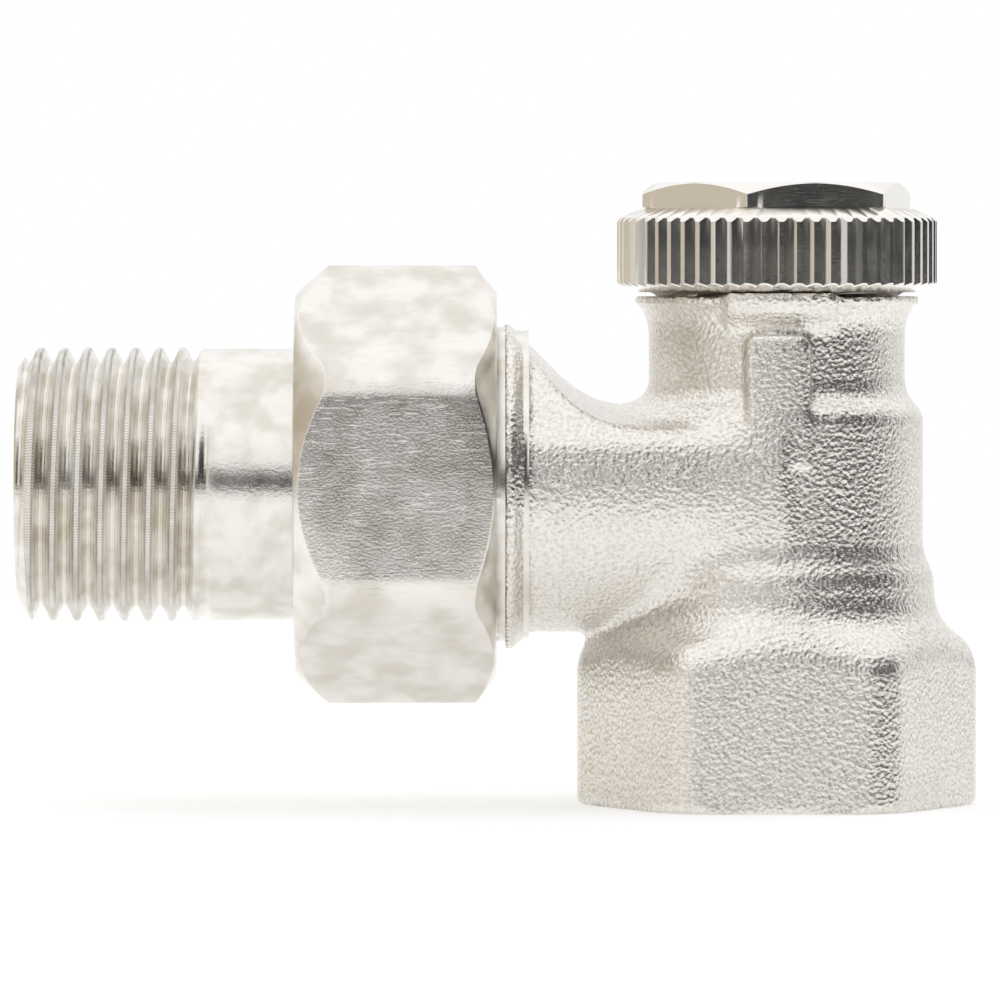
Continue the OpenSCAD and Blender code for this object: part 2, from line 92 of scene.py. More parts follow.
# %% A graph and its values
class Value:
    """A socket in a graph, with arithmetic that adds Math nodes."""

    def __init__(self, graph, socket):
        self.graph, self.socket = graph, socket

    def math(self, operation, other=0.0, swapped=False):
        """This value and another through one Math node."""
        pair = (other, self) if swapped else (self, other)
        return self.graph.add("ShaderNodeMath", {"operation": operation}, dict(enumerate(pair)))

    def __add__(self, other):
        return self.math("ADD", other)

    def __sub__(self, other):
        return self.math("SUBTRACT", other)

    def __mul__(self, other):
        return self.math("MULTIPLY", other)

    def __truediv__(self, other):
        return self.math("DIVIDE", other)

    def __rsub__(self, other):
        return self.math("SUBTRACT", other, swapped=True)

    def __abs__(self):
        return self.math("ABSOLUTE")

    __radd__ = __add__
    __rmul__ = __mul__


class Graph:
    """The node tree of a material or world, emptied and ready for new nodes."""

    def __init__(self, owner):
        owner.use_nodes = True
        self.tree = owner.node_tree
        self.tree.nodes.clear()

    def add(self, kind, settings=None, sockets=None, output=0):
        """Adds a node: its settings first, then the value or link of each socket."""
        node = self.tree.nodes.new(kind)
        for name, value in (settings or {}).items():
            if name == "stops":
                for element, (place, level) in zip(stops(node, len(value)), value):
                    element.position = place
                    element.color = (level, level, level, 1)
            else:
                setattr(node, name, value)
        for name, value in (sockets or {}).items():
            if isinstance(value, Value):
                self.tree.links.new(value.socket, node.inputs[name])
            else:
                node.inputs[name].default_value = value
        return Value(self, node.outputs[output]) if len(node.outputs) else node

    def smooth(self, value, low, high):
        """0 below low, 1 above high, eased between them."""
        return self.add(
            "ShaderNodeMapRange",
            {"interpolation_type": "SMOOTHSTEP"},
            {"Value": value, "From Min": low, "From Max": high},
        )

    def noise(self, vector, scale, detail=2.0, roughness=0.5):
        """Blender's noise on a vector, from about 0.2 to 0.8."""
        return self.add(
            "ShaderNodeTexNoise", {},
            {"Vector": vector, "Scale": scale, "Detail": detail, "Roughness": roughness},
        )

    def mix(self, factor, a, b):
        """A colour between a and b."""
        return self.add(
            "ShaderNodeMix", {"data_type": "RGBA"}, {0: factor, 6: a, 7: b}, output=2
        )


def stops(ramp, count):
    """The ramp's elements, as many as are asked for."""
    elements = ramp.color_ramp.elements
    while len(elements) < count:
        elements.new(0.5)
    return elements


def millimetres(graph):
    """Object coordinates in millimetres, as a vector and as its three parts."""
    here = graph.add("ShaderNodeTexCoord", output=3)
    scaled = graph.add(
        "ShaderNodeVectorMath", {"operation": "SCALE"}, {0: here, "Scale": 1000.0}
    )
    parts = [graph.add("ShaderNodeSeparateXYZ", {}, {0: scaled}, output=i) for i in range(3)]
    return scaled, parts


def finish_metal(graph, colour, roughness, height, depth, tint=None):
    """Ends a metal: a Principled shader whose bump is height times depth (mm)."""
    normal = graph.add(
        "ShaderNodeBump", {}, {"Strength": 1.0, "Distance": depth * MM, "Height": height}
    )
    shader = graph.add(
        "ShaderNodeBsdfPrincipled", {},
        {"Base Color": colour, "Metallic": 1.0, "Roughness": roughness, "Normal": normal},
    )
    graph.add("ShaderNodeOutputMaterial", {}, {0: shader})


print("shader class ready")

# %% [markdown]
# ## Nickel on a shot-blasted casting
#
# Steel shot leaves the casting covered in tiny dimples about a quarter of a
# millimetre across, and the nickel plate follows them. Each dimple mirrors a
# different part of the room, so the surface sparkles black and white. A rough
# shader alone would give an even grey; a strong, fine bump under a fairly
# polished surface gives the sparkle. The dimples are cells of a Voronoi pattern
# mixed with noise, and slower noise varies how matt they are. The colour is
# darker where the fine noise, and so the bump, is low: painted shade in the
# dimples.

# %% Cast nickel
NICKEL = (0.86, 0.835, 0.795, 1)
DEEP_NICKEL = (0.70, 0.665, 0.60, 1)


def make_cast_nickel():
    """Dimples from Voronoi and noise; roughness drifts slowly over the surface, and the colour
    darkens in the low spots of the fine grain, painted shade in the dimples.
    """
    material = bpy.data.materials.new("cast_nickel")
    graph = Graph(material)
    place, _ = millimetres(graph)
    dimples = graph.add(
        "ShaderNodeTexVoronoi", {"feature": "SMOOTH_F1"},
        {"Vector": place, "Scale": 2.9, "Smoothness": 0.55, "Randomness": 1.0},
    )
    grain = graph.noise(place, 3.4, 3.0, 0.55)
    slow = graph.noise(place, 0.22, 2.0)
    height = dimples * 0.8 + grain * 1.1 + slow * 0.6
    # painted shade: the darker nickel follows the low spots of the grain bump, the hollows of the
    # dimples
    colour = graph.mix(graph.smooth(grain, 0.3, 0.6), DEEP_NICKEL, NICKEL)
    finish_metal(graph, colour, 0.2 + slow * 0.12, height, 0.075)
    return material


cast_nickel = make_cast_nickel()
print("made", cast_nickel.name)

# %% [markdown]
# ## Nickel over turned brass
#
# A lathe tool leaves a very fine groove that winds round the work. On a cylinder
# it shows as lines round the axis, on a face as circles. Noise that is read only
# from the distance along the axis and the radius gives both at once, because it
# can't change round the axis.


# %% Turned nickel
def rings_round(graph, parts, axis):
    """Distance along the axis and radius from it, as one vector, in millimetres."""
    x, y, z = parts
    if axis == "union":
        along, a, b = x, y, z - AXIS_HEIGHT
    else:
        along, a, b = z, x, y
    radius = (a * a + b * b).math("SQRT")
    return graph.add("ShaderNodeCombineXYZ", {}, {0: along, 1: radius}), radius, (a, b)


def make_turned(name, axis, colour, deep, depth=0.004, roughness=0.16, speckle=0.35):
    """Tool marks round the axis with a little of the plate's fine orange peel."""
    material = bpy.data.materials.new(name)
    graph = Graph(material)
    place, parts = millimetres(graph)
    rings, radius, _ = rings_round(graph, parts, axis)
    marks = graph.noise(rings, 9.0, 3.0, 0.7)
    peel = graph.noise(place, 4.5, 2.0)
    slow = graph.noise(place, 0.35, 2.0)
    height = marks + peel * speckle
    tint = graph.mix(graph.smooth(slow, 0.3, 0.65), deep, colour)
    finish_metal(graph, tint, roughness + slow * 0.1, height, depth)
    return material


machined_nickel = make_turned("machined_nickel", "spindle", NICKEL, DEEP_NICKEL)
turned_nickel_cap = make_turned("turned_nickel_cap", "spindle", NICKEL, NICKEL, 0.006, 0.12)
turned_nickel_union = make_turned("turned_nickel_union", "union", NICKEL, DEEP_NICKEL, 0.008)
print("made the turned nickels")

# %% [markdown]
# ## The thread's serrated crests
#
# Fine notches run across each crest of the radiator thread, about three hundred
# in a turn, so that the hemp winding can't slip. They are too small to model, so
# a sine of the angle round the axis raises them in the bump, and the radius
# keeps them on the crests.


# %% Serrated thread
def make_serrated():
    """Turned nickel whose crests, beyond a radius of 10.3 mm, are notched 300 times a turn."""
    material = bpy.data.materials.new("serrated_nickel")
    graph = Graph(material)
    place, parts = millimetres(graph)
    rings, radius, (a, b) = rings_round(graph, parts, "union")
    angle = b.math("ARCTAN2", a)
    notch = (angle * 300.0).math("SINE")
    on_thread = graph.smooth(0.0 - parts[0], 45.2, 46.0)
    crest = graph.smooth(radius, 10.15, 10.4) * on_thread
    marks = graph.noise(rings, 9.0, 3.0, 0.7)
    peel = graph.noise(place, 3.6, 3.0, 0.6)
    slow = graph.noise(place, 0.4, 2.0)
    height = marks * 0.25 + peel * 0.9 + notch * crest * 2.2
    tint = graph.mix(graph.smooth(slow, 0.3, 0.65), DEEP_NICKEL, NICKEL)
    finish_metal(graph, tint, 0.15 + slow * 0.12, height, 0.02)
    return material


serrated_nickel = make_serrated()
print("made", serrated_nickel.name)

# %% [markdown]
# ## The nut's flats
#
# The flats keep the skin of the drawn bar: nearly flat, with a fine grain and
# short scratches from handling. The scratches are noise stretched along the bar
# and cut off so that only its peaks remain.


# %% Bar nickel
def make_bar_nickel():
    """Fine grain, plus scratches where stretched noise passes a threshold."""
    material = bpy.data.materials.new("bar_nickel")
    graph = Graph(material)
    place, _ = millimetres(graph)
    grain = graph.noise(place, 5.0, 3.0, 0.6)
    stretched = graph.add(
        "ShaderNodeMapping", {}, {0: place, "Rotation": (0.2, 0.5, 0.3), "Scale": (0.5, 6.0, 6.0)}
    )
    scratches = graph.smooth(graph.noise(stretched, 1.0, 2.0), 0.62, 0.68)
    slow = graph.noise(place, 0.3, 2.0)
    height = grain - scratches * 0.35
    tint = graph.mix(graph.smooth(slow, 0.3, 0.65), DEEP_NICKEL, NICKEL)
    finish_metal(graph, tint, 0.17 + slow * 0.12, height, 0.028)
    return material


bar_nickel = make_bar_nickel()
print("made", bar_nickel.name)

# %% [markdown]
# ## Brass, spring steel and rubber inside
#
# The parts that the water touches are plain turned brass, the split rings are
# spring steel, and the seals are black rubber with a faint mould texture.

# %% Inner finishes
BRASS = (0.80, 0.58, 0.27, 1)
DARK_BRASS = (0.62, 0.42, 0.17, 1)
bare_brass = make_turned("bare_brass", "spindle", BRASS, DARK_BRASS, 0.006, 0.2, 0.2)
spring_steel = make_turned(
    "spring_steel", "spindle", (0.56, 0.57, 0.58, 1), (0.40, 0.40, 0.42, 1), 0.006, 0.25, 0.3
)


def make_rubber():
    """Dark rubber: grain in the bump, and a dusty bloom that makes patches paler and duller."""
    material = bpy.data.materials.new("seal_rubber")
    graph = Graph(material)
    place, _ = millimetres(graph)
    grain = graph.noise(place, 6.0, 3.0)
    bloom = graph.noise(place, 0.8, 3.0)
    colour = graph.mix(
        graph.smooth(bloom, 0.35, 0.7), (0.012, 0.012, 0.013, 1), (0.035, 0.034, 0.033, 1)
    )
    normal = graph.add("ShaderNodeBump", {}, {"Distance": 0.01 * MM, "Height": grain})
    shader = graph.add(
        "ShaderNodeBsdfPrincipled", {},
        {"Base Color": colour, "Roughness": 0.45 + bloom * 0.3, "Normal": normal},
    )
    graph.add("ShaderNodeOutputMaterial", {}, {0: shader})
    return material


seal_rubber = make_rubber()
inner_finish = {"bare_brass": bare_brass, "spring_steel": spring_steel, "seal_rubber": seal_rubber}
for name in ("headwork", "shutoff_spindle", "plug", "washer_retainer", "preset_spindle"):
    nodes[name].material_slots[0].material = bare_brass
for name in ("spindle_stop_ring", "plug_clip"):
    nodes[name].material_slots[0].material = spring_steel
for name in ("cap_gasket", "headwork_o_ring", "upper_spindle_o_ring", "lower_spindle_o_ring",
             "seat_washer", "preset_o_ring"):
    nodes[name].material_slots[0].material = seal_rubber
print("finished the inner pieces")

# %% [markdown]
# ## A grid that goes round an axis
#
# Lathe work is a profile carried round an axis, so each turned piece is a grid:
# its columns stand at angles round the axis and its rows follow the profile.
# A row may give a different radius or distance in each column, which turns the
# same grid into a hexagon, a knurl or a screw thread. Spinning an outline with
# a modifier would only give round shapes.
#
# A screw thread needs one more idea. Its rows climb by one pitch in a turn, so
# at the seam a row doesn't meet itself but the row one pitch further on. Rows
# that would run past the end of the thread are held at the end, where they fall
# together into one circle, and merging the doubles closes the surface.


# %% Rows, threads and the mesh they make
def ring(distance, radius, angles):
    """One row of a turned grid: distance along the axis and radius, spread over all angles."""
    shape = (1, len(angles))
    return np.broadcast_to(distance, shape) * 1.0, np.broadcast_to(radius, shape) * 1.0, None


def whitworth(phase, crest, root):
    """Thread radius from its phase (0 to 1 in a pitch): 55 degree flanks as straight lines
    from crest to root, with a short flat at the crest and a rounded root."""
    away = np.abs((phase + 0.5) % 1.0 - 0.5) * 2
    slope = np.clip((away - 0.24) / (0.86 - 0.24), 0, 1)
    return crest - (crest - root) * (slope - 0.06 * np.sin(np.pi * slope) ** 2 * slope)


def thread(start, end, crest, root, angles, limit, steps=12, backwards=False):
    """The rows of a screw thread. Row i stands at start + (i / steps - 1) pitches, plus one
    pitch times angle / full turn, held between start and end. limit(distance, radius) trims
    the profile, as a chamfer or a run-out does."""
    count = int(math.ceil((end - start + THREAD_PITCH) / THREAD_PITCH * steps)) + 1
    row = np.arange(count)[:, None]
    along = start + (row / steps - 1 + angles[None, :] / FULL_TURN) * THREAD_PITCH
    distance = np.clip(along, start, end)
    radius = limit(distance, whitworth(row / steps + 0 * angles[None, :], crest, root))
    seam = np.minimum(np.arange(count) + steps, count - 1)
    if backwards:
        seam = (count - 1) - seam[::-1]
        distance, radius = distance[::-1], radius[::-1]
    return distance, radius, seam


def grid_faces(seam, columns, closed):
    """Quads between neighbouring rows. Across the last column a row joins the row that seam
    names; when the profile is closed, the last row joins the first."""
    rows = len(seam)
    index = np.arange(rows * columns).reshape(rows, columns)
    right = np.hstack([index[:, 1:], index[seam, 0][:, None]])
    if closed:
        index, right = np.vstack([index, index[:1]]), np.vstack([right, right[:1]])
    quads = np.stack([index[:-1], right[:-1], right[1:], index[1:]], axis=-1)
    return quads.reshape(-1, 4)


def turned_points(blocks):
    """Stacks the blocks of rows: distances, radii and, for each row, the row its seam joins."""
    distance = np.vstack([block[0] for block in blocks])
    radius = np.vstack([block[1] for block in blocks])
    seams, first = [], 0
    for block in blocks:
        count = len(block[0])
        seams.append(first + (np.arange(count) if block[2] is None else block[2]))
        first += count
    return distance, radius, np.concatenate(seams)


print("one turn of thread needs", 12, "rows")

# %% [markdown]
# ## From arrays to objects
#
# foreach_set hands whole arrays to Blender at once. The mesh is then welded, its
# faces are made to point outwards, and edges sharper than an angle stay sharp
# while the rest shade smoothly. Each piece keeps its object at the origin, as
# the CAD nodes do.


# %% Making a mesh object
def make_object(name, points, faces, sharp=35.0, weld=2e-4):
    """A new object from points in millimetres and quads that index them. Points closer than
    weld (mm) are merged, and faces that shrank to nothing go with them."""
    import bmesh

    mesh = bpy.data.meshes.new(name)
    mesh.vertices.add(len(points))
    mesh.vertices.foreach_set("co", (np.asarray(points, np.float32) * MM).ravel())
    sizes = faces.shape[1]
    mesh.loops.add(faces.size)
    mesh.loops.foreach_set("vertex_index", faces.astype(np.int32).ravel())
    mesh.polygons.add(len(faces))
    mesh.polygons.foreach_set("loop_start", np.arange(0, faces.size, sizes, dtype=np.int32))
    mesh.update(calc_edges=True)
    work = bmesh.new()
    work.from_mesh(mesh)
    bmesh.ops.remove_doubles(work, verts=work.verts, dist=weld * MM)
    bmesh.ops.dissolve_degenerate(work, edges=work.edges, dist=weld * MM)
    loose = [edge for edge in work.edges if edge.is_wire]
    bmesh.ops.delete(work, geom=loose, context="EDGES")
    bmesh.ops.recalc_face_normals(work, faces=work.faces)
    open_edges = sum(1 for edge in work.edges if len(edge.link_faces) != 2)
    work.to_mesh(mesh)
    work.free()
    shade(mesh, sharp)
    piece = bpy.data.objects.new(name, mesh)
    bpy.context.scene.collection.objects.link(piece)
    print(name, "faces", len(mesh.polygons), "open edges", open_edges)
    return piece


def shade(mesh, sharp):
    """Smooth shading with edges above the sharp angle (degrees) kept sharp."""
    mesh.polygons.foreach_set("use_smooth", np.ones(len(mesh.polygons), bool))
    mesh.set_sharp_from_angle(angle=math.radians(sharp))
    mesh.update()


def round_the_union(distance, radius, angles):
    """Points on the union's axis: X is minus the distance, Y and Z circle round it."""
    turn = angles[None, :] + 0 * distance
    return np.stack(
        [-distance, radius * np.cos(turn), AXIS_HEIGHT + radius * np.sin(turn)], axis=-1
    ).reshape(-1, 3)


def round_the_spindle(distance, radius, angles):
    """Points on the spindle's axis: Z is the distance, X and Y circle round it."""
    turn = angles[None, :] + 0 * distance
    return np.stack(
        [radius * np.cos(turn), radius * np.sin(turn), distance], axis=-1
    ).reshape(-1, 3)


def turned_object(name, blocks, angles, place, closed=True, sharp=35.0):
    """A turned piece: its blocks of rows, made into a mesh by a placing function."""
    distance, radius, seam = turned_points(blocks)
    faces = grid_faces(seam, len(angles), closed)
    return make_object(name, place(distance, radius, angles), faces, sharp)


print("placing functions: round_the_union, round_the_spindle")

# %% [markdown]
# ## The tailpiece
#
# The tailpiece screws into the radiator. Its taper-free half-inch thread is
# serrated along the crests so that hemp grips it, its barrel is smooth, and
# inside the nut sits a collar with a conical nose. All of it is one closed grid:
# out along the nose, collar, barrel and thread, and back through the bore, where
# a few rows take the radius of a hexagon for the key.


# %% Tailpiece
def hexagon_radius(angles, across_flats, corner=0.0):
    """Distance from the middle to a hexagon's edge at each angle. Corners are rounded by
    meeting the circle of the given radius that touches both flats."""
    half = across_flats / 2
    folded = np.abs((angles + math.pi / 6) % (math.pi / 3) - math.pi / 6)
    flat = half / np.cos(math.pi / 6 - folded)
    if corner == 0:
        return flat
    centre = (half - corner) * 2 / math.sqrt(3)
    inside = np.maximum(corner**2 - (centre * np.sin(folded)) ** 2, 0)
    round_end = centre * np.cos(folded) + np.sqrt(inside)
    touch = math.atan2(half - (half - corner), 0) if False else None
    limit = math.atan2(corner * 0.5, centre + corner * math.sqrt(3) / 2)
    return np.where(folded < limit, round_end, flat)


def chamfered_end(end, length, depth, crest):
    """A trim for thread(): radii stay under a cone that falls by depth over the last length."""
    return lambda distance, radius: np.minimum(
        radius, crest - np.clip((distance - end + length) / length, 0, 1) * depth
    )


def tail_limit(distance, radius):
    """The tail's thread runs out into the barrel over 1.6 mm and is chamfered at its end."""
    runout = np.clip((distance - 43.2) / 1.6, 0, 1)
    radius = 10.4 + (radius - 10.4) * runout
    return chamfered_end(58.0, 0.95, 1.3, 10.478)(distance, radius)


tail_angles = np.arange(0, 312) / 312 * FULL_TURN
key = hexagon_radius(tail_angles, 12.0)


def tail_ring(distance, radius):
    """One plain row of the tailpiece."""
    return ring(distance, radius, tail_angles)


tail_rows = [
    tail_ring(28.6, 6.4), tail_ring(28.6, 7.9), tail_ring(28.75, 8.1),
    tail_ring(30.9, 10.39), tail_ring(30.9, 11.8), tail_ring(31.1, 12.0),
    tail_ring(33.57, 12.0), tail_ring(33.77, 11.8), tail_ring(33.77, 10.55),
    tail_ring(33.85, 10.42), tail_ring(34.0, 10.4), tail_ring(38.0, 10.4), tail_ring(42.0, 10.4),
    thread(43.2, 58.0, 10.478, 9.32, tail_angles, tail_limit),
    tail_ring(58.0, 8.1), tail_ring(57.85, 7.9), tail_ring(56.5, 6.4),
    tail_ring(46.0, 6.4), tail_ring(46.0, key), tail_ring(38.0, key),
    tail_ring(38.0, 6.4),
]
tail = turned_object("radiator_tailpiece", tail_rows, tail_angles, round_the_union)

# %% [markdown]
# ## The union nut
#
# The nut is hexagon bar with rounded corners. Turning its ends to a cone leaves
# the curved edges that every spanner nut has, because a cone meets a flat in a
# hyperbola. In the grid each column finds for itself where the cone leaves the
# flat, so the edge lands exactly on a row and stays crisp.


# %% Nut
nut_angles = np.arange(0, 360) / 360 * FULL_TURN
nut_outline = hexagon_radius(nut_angles + math.pi / 2, 30.0, 3.5)
NUT_START, NUT_END = 21.45, 36.8
NUT_FACE_R = 14.7
NUT_TIP_R = 30 / math.sqrt(3) - 3.5 * (2 / math.sqrt(3) - 1) + 0.1


def cone_edge(outline, face, length, inward):
    """Where a hexagon leaves an end cone: the cone rises from NUT_FACE_R at the face to the
    tip radius over length, so the edge is at face + (outline - face radius) / slope."""
    slope = (NUT_TIP_R - NUT_FACE_R) / length
    return face + inward * (outline - NUT_FACE_R) / slope


nut_front = cone_edge(nut_outline, NUT_START, 1.7, 1)
nut_rear = cone_edge(nut_outline, NUT_END, 2.6, -1)
BEVEL = 0.1


def nut_ring(distance, radius):
    """One plain row of the nut."""
    return ring(distance, radius, nut_angles)


def bore_limit(distance, radius):
    """The union's inner thread opens to a chamfer at its mouth and ends in a relief."""
    mouth = 14.0 - np.clip((distance - NUT_START) / 1.9, 0, 1) * 1.9
    relief = 13.5 - np.clip((32.4 - distance) / 0.8, 0, 1) * 1.4
    return np.maximum(radius, np.maximum(mouth, relief))


nut_rows = [
    nut_ring(NUT_START, 14.0), nut_ring(NUT_START, 14.35), nut_ring(NUT_START, 14.6),
    nut_ring(NUT_START + 0.08, 14.78),
    nut_ring(nut_front - 0.06, nut_outline - 0.09),
    nut_ring(nut_front + 0.02, nut_outline - 0.02),
    nut_ring(nut_front + 0.12, nut_outline),
    nut_ring(nut_front * 0.75 + nut_rear * 0.25, nut_outline),
    nut_ring(nut_front * 0.5 + nut_rear * 0.5, nut_outline),
    nut_ring(nut_front * 0.25 + nut_rear * 0.75, nut_outline),
    nut_ring(nut_rear - 0.12, nut_outline),
    nut_ring(nut_rear - 0.02, nut_outline - 0.02),
    nut_ring(nut_rear + 0.08, nut_outline - 0.08),
    nut_ring(NUT_END - 0.1, 14.78), nut_ring(NUT_END, 14.6),
    nut_ring(NUT_END, 12.5), nut_ring(NUT_END, 11.05), nut_ring(NUT_END - 0.4, 10.65),
    nut_ring(33.8, 10.65), nut_ring(33.8, 13.5), nut_ring(32.4, 13.5),
    thread(NUT_START, 32.4, 12.1, 13.26, nut_angles, bore_limit, backwards=True),
]
nut = turned_object("union_hexagon_nut", nut_rows, nut_angles, round_the_union)

# %% [markdown]
# ## The knurled cap
#
# The cap keeps dirt off the spindle and is turned by hand, so its skirt is
# knurled; the small hexagon on top is for a spanner. Both are cut from one bar.
# The grid's columns stand where the teeth and the hexagon's corners need them.


# %% Cap
TEETH = 58
tooth_columns = np.array([0.0, 0.16, 0.36, 0.5, 0.64, 0.84])
cap_angles = ((np.arange(TEETH)[:, None] + tooth_columns[None, :]) / TEETH).ravel() * FULL_TURN
hexagon_turn = math.radians(16.4)
corners = hexagon_turn + np.arange(6) * math.pi / 3
beside = np.concatenate([corners, corners - 0.006, corners + 0.006])
cap_angles = np.unique(np.round(np.concatenate([cap_angles, beside]) % FULL_TURN, 6))
tooth_phase = (cap_angles * TEETH / FULL_TURN) % 1.0
away_from_tip = np.abs(tooth_phase - 0.5) * 2
groove = np.clip((away_from_tip - 0.26) / (1 - 0.26), 0, 1)
knurl = 12.26 - 0.45 * groove
cap_hexagon = hexagon_radius(cap_angles - hexagon_turn, 18.75)
cap_hexagon = np.minimum(cap_hexagon, 18.75 / math.sqrt(3) - 0.06)


def cap_ring(distance, radius):
    """One plain row of the cap."""
    return ring(distance, radius, cap_angles)


lower_slope = 0.65 / (12.26 - 10.84)
upper_slope = 0.25 / 0.2
knurl_low = 39.25 + lower_slope * (knurl - 10.84)
knurl_high = 44.9 - upper_slope * np.maximum(knurl - 12.06, 0)
hexagon_edge = 47.6 - (cap_hexagon - 9.3) * math.tan(math.radians(30))


def cap_thread_limit(distance, radius):
    """The cap's thread opens at its mouth and ends in a relief."""
    mouth = 10.66 - np.clip((distance - 39.25) / 1.3, 0, 1) * 1.3
    relief = 10.5 - np.clip((44.2 - distance) / 0.5, 0, 1) * 1.2
    return np.maximum(radius, np.maximum(mouth, relief))


cap_rows = [
    cap_ring(39.25, 10.66), cap_ring(39.25, 10.80), cap_ring(39.3, 10.92),
    cap_ring(knurl_low - 0.04, knurl - 0.08), cap_ring(knurl_low + 0.08, knurl),
    cap_ring((knurl_low + knurl_high) / 2, knurl),
    cap_ring(knurl_high - 0.06, knurl),
    cap_ring(44.9, np.minimum(knurl, 12.06) - 0.01),
    cap_ring(44.96, np.minimum(knurl, 12.06) - 0.08),
    cap_ring(45.6, 10.46), cap_ring(45.65, np.minimum(10.4, cap_hexagon)),
    cap_ring(45.66, np.minimum(10.36, cap_hexagon)),
    cap_ring(45.72, cap_hexagon),
    cap_ring(hexagon_edge - 0.05, cap_hexagon),
    cap_ring(hexagon_edge + 0.02, cap_hexagon - 0.05),
    cap_ring(47.56, 9.36), cap_ring(47.6, 9.24), cap_ring(47.6, 5.0), cap_ring(47.6, 0.0),
    cap_ring(44.9, 0.0), cap_ring(44.9, 8.0), cap_ring(44.9, 10.5),
    thread(39.25, 44.2, 9.35, 10.5, cap_angles, cap_thread_limit, steps=8, backwards=True),
]
cap = turned_object("knurled_cap", cap_rows, cap_angles, round_the_spindle, closed=True, sharp=28)

print("pieces so far:", tail.name, nut.name, cap.name)

# %% [markdown]
# ## The casting as a distance field
#
# A casting has no crisp edges: where two walls meet, the sand leaves a fillet.
# Joining solids with Booleans and bevelling the seams is fragile on such a
# shape. Here the casting is a function that gives, for any point, its distance
# from the surface, less than zero inside. Unions and overlaps of such functions
# can be rounded by a chosen radius, which is just what a pattern maker does.


# %% Rounded joins
def rounded_union(a, b, blend):
    """The nearer of two surfaces, with a fillet: h = (blend - |a - b|) / blend where positive,
    and the result is min(a, b) - h * h * blend / 4."""
    share = np.maximum(blend - np.abs(a - b), 0) / blend
    return np.minimum(a, b) - share * share * blend / 4


def rounded_overlap(a, b, radius):
    """What two solids share, its edge rounded by a circle of the radius."""
    return np.minimum(np.maximum(a, b), -radius) + np.hypot(
        np.maximum(a + radius, 0), np.maximum(b + radius, 0)
    )


DRAFT = math.radians(8)
SLOPE = math.tan(math.radians(35))
shaft_z = np.array([
    -5, 16.9, 17.85, 18.9, 19.9, 29.5, 29.68, 30.0, 30.4, 30.75, 31.1, 31.6, 32.1, 32.6,
    36.0, 36.6, 37.2, 37.7, 38.05, 38.3, 38.42, 45,
])
shaft_r = np.array([
    12.07, 12.07, 11.9, 11.45, 11.2, 11.2, 11.17, 11.06, 10.84, 10.56, 10.28, 10.0, 9.85, 9.8,
    9.8, 9.85, 9.99, 10.2, 10.44, 10.66, 10.85, 10.85,
])


def shaft_field(x, y, z, out):
    """Step, barrel, neck and rim: distance out from the axis less the profile's radius there."""
    return out - np.interp(z, shaft_z, shaft_r)


def base_field(x, y, z, out):
    """The hexagonal foot: three pairs of planes with rounded corners, cut by the flare's cone
    above and a small chamfer below."""
    across = np.abs(x) * 0.8729
    corner = 1.7
    sides = rounded_overlap(across + 0.4878 * y - 13.86, across - 0.4878 * y - 13.86, corner)
    sides = rounded_overlap(sides, np.abs(y) - 13.6, corner)
    flare = (z - 14.27 + (out - 12.07) * SLOPE) / math.hypot(1, SLOPE)
    foot = (out - 14.75 - 2 * z) / math.sqrt(5)
    return rounded_overlap(rounded_overlap(sides, flare, 1.5), foot, 0.3)


def branch_field(x, y, z, out):
    """The branch: a cylinder on the union's axis with its flange and a flatter arm in front and
    behind, less the notch between flange and neck, whose walls lean by the draft."""
    up = z - AXIS_HEIGHT
    round_it = np.hypot(y, up)
    flange_r = np.interp(-x, [0, 18.75, 19.95, 20.3, 30], [11.15, 11.15, 12.3, 12.57, 12.57])
    tube = (round_it - flange_r) * 0.9
    bulge = np.hypot(np.abs(y) + 4.73, z - 24.8) - 16.0
    arm = np.where(z > 24.8, bulge, np.hypot(y, z - 24.8) - 11.27)
    tilted = (z - 30.35) * math.cos(DRAFT) + np.abs(y) * math.sin(DRAFT)
    wall = (x + 14.1 + tilted) / math.sqrt(2)
    arm = rounded_overlap(arm, tilted, 1.5)
    kept = rounded_union(tilted, wall, 2.8)
    tube = rounded_overlap(tube, kept, 0.35)
    both = rounded_union(tube, arm, 0.9)
    return rounded_overlap(rounded_overlap(both, -20.8 - x, 0.2), x, 0.1)


def pad_field(x, y, z, out):
    """The flat-topped pad up the neck's front."""
    sides = rounded_overlap(np.abs(x + 0.2) - 2.45, z - 36.1, 1.0)
    sides = rounded_overlap(sides, 26.0 - z, 0.3)
    return rounded_overlap(rounded_overlap(sides, out - 11.27, 0.45), y, 0.1)


def lug_field(x, y, z, out):
    """The lugs before and behind, which carry the rim's full height up to the cap."""
    cone = (out - 9.5 - (z - 36.1) * 0.88) / math.hypot(1, 0.88)
    shape = rounded_overlap(rounded_overlap(out - 11.25, cone, 0.5), z - 39.2, 0.15)
    return rounded_overlap(shape, np.abs(x) - 4.2, 0.35)


def casting_field(x, y, z):
    """Distance from the casting's outer surface, in millimetres."""
    out = np.hypot(x, y)
    shaft = rounded_overlap(shaft_field(x, y, z, out), z - 38.9, 0.15)
    body = rounded_union(shaft, base_field(x, y, z, out), 1.9)
    body = rounded_union(body, branch_field(x, y, z, out), 1.7)
    body = rounded_union(body, pad_field(x, y, z, out), 0.5)
    body = rounded_union(body, lug_field(x, y, z, out), 0.5)
    return np.maximum(body, -z)


print("field at the axis, mid barrel:", float(casting_field(0.0, 0.0, np.array(25.0))))

# %% [markdown]
# ## A mesh from the field
#
# The space round the casting is cut into cells a third of a millimetre wide. A
# cell that the surface passes through gets one point, and each grid edge that
# crosses the surface gets one quad between the four cells round it. The points
# are then eased towards their neighbours and pushed back onto the surface along
# the field's slope, which leaves an even, smooth skin.


